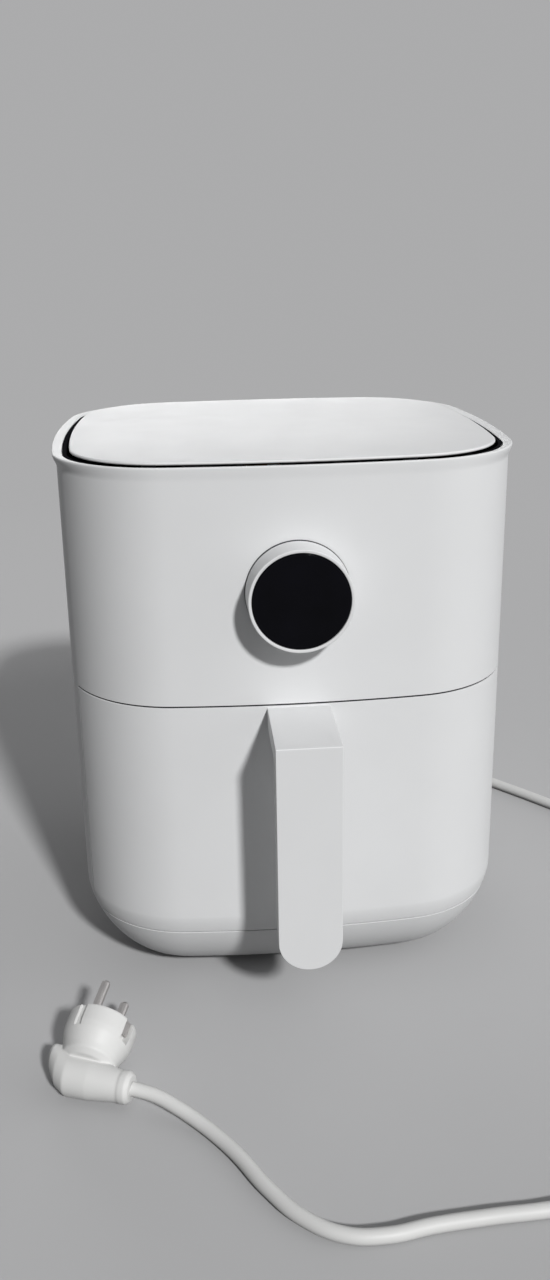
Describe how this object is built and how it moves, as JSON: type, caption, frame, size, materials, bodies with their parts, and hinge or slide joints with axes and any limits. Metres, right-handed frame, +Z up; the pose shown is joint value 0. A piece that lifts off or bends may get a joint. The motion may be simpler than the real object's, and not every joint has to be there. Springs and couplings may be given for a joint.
{
  "type": "air fryer",
  "caption": "Countertop air fryer with a pull-out drawer, strip handle, perforated crisper plate, round display knob, fan, heater and mains cord with an earthed plug.",
  "frame": {"origin": "on the table under the middle of the box that holds the body, the handle and the rear outlet, without the cord", "axes": "+X to the right seen from the front, +Y from the drawer front towards the rear outlet, +Z up"},
  "size_m": [0.4177, 0.5105, 0.3072],
  "materials": {
    "white_plastic": "fine matt",
    "cord_white": "soft matt",
    "black_glass": "gloss",
    "black_plastic": "matt",
    "grey_plastic": "matt",
    "light_plastic": "matt",
    "nonstick": "satin non-stick",
    "sheet_steel": "satin",
    "element_steel": "heat-tinted",
    "laminated_steel": "laminated",
    "nickel": "bright",
    "copper_winding": "lacquered",
    "board_green": "solder mask",
    "rubber": "matt",
    "switch_red": "matt"
  },
  "bodies": {
    "housing": {"outer_casing": "white_plastic", "front_bezel": "grey_plastic", "top_rim": "white_plastic", "top_cover": "white_plastic", "inlet_tray": "black_plastic", "base_ring": "white_plastic", "base_plate": "grey_plastic", "rubber_feet": "rubber", "base_screws": "nickel", "rear_outlet": "white_plastic", "chamber_liner": "sheet_steel", "drawer_rails": "grey_plastic", "drawer_catches": "sheet_steel", "reflector": "sheet_steel", "element_coil": "element_steel", "element_terminals": "element_steel", "element_guard": "sheet_steel", "heat_shield": "sheet_steel", "fan_deck": "light_plastic", "deck_screws": "nickel", "motor_frame": "sheet_steel", "motor_stator": "laminated_steel", "motor_coil": "copper_winding", "motor_top_bridge": "sheet_steel", "thermal_cutout": "black_plastic", "temperature_sensor": "sheet_steel", "control_board": "board_green", "board_screws": "nickel", "push_switch": "black_plastic", "encoder_sensor": "black_plastic", "power_board": "board_green", "power_parts": "black_plastic", "drawer_switch": "black_plastic", "cord_gland": "cord_white", "strain_relief": "cord_white", "mains_cord": "cord_white", "plug_body": "cord_white", "plug_pins": "nickel", "plug_earth_clips": "nickel"},
    "drawer": {"drawer_front": "white_plastic", "drawer_backing": "grey_plastic", "handle": "white_plastic", "handle_inner": "white_plastic", "handle_screws": "nickel", "pot": "nonstick"},
    "crisper": {"crisper_plate": "nonstick", "plate_bumpers": "rubber"},
    "knob_push": {"display_lens": "black_glass", "display_housing": "black_plastic", "display_panel": "black_glass"},
    "knob_ring": {"knob_ring": "white_plastic", "encoder_wheel": "light_plastic"},
    "fan_rotor": {"motor_shaft": "sheet_steel", "motor_rotor": "laminated_steel", "hot_air_fan": "sheet_steel", "cooling_fan": "black_plastic", "fan_nut": "nickel"},
    "switch_plunger": {"switch_plunger": "switch_red"}
  },
  "joints": [
    {"name": "drawer_slide", "type": "slide", "parent": "housing", "child": "drawer", "axis": [0, -1, 0], "range_m": [0, 0.2]},
    {"name": "crisper_lift", "type": "slide", "parent": "drawer", "child": "crisper", "axis": [0, 0, 1], "range_m": [0, 0.09]},
    {"name": "knob_press", "type": "slide", "parent": "housing", "child": "knob_push", "axis": [0, 1, 0], "range_m": [0, 0.0008], "stiffness_N_per_m": 3000},
    {"name": "knob_turn", "type": "hinge", "parent": "knob_push", "child": "knob_ring", "pos_m": [0, -0.1141, 0.2374], "axis": [0, -1, 0], "continuous": true},
    {"name": "fan_spin", "type": "hinge", "parent": "housing", "child": "fan_rotor", "pos_m": [0, 0.0279, 0.24], "axis": [0, 0, 1], "continuous": true},
    {"name": "switch_follow", "type": "slide", "parent": "housing", "child": "switch_plunger", "axis": [0, -1, 0], "range_m": [0, 0.002]}
  ],
  "couplings": [
    {"joint": "switch_follow", "follows": "drawer_slide", "ratio": 0.01}
  ]
}
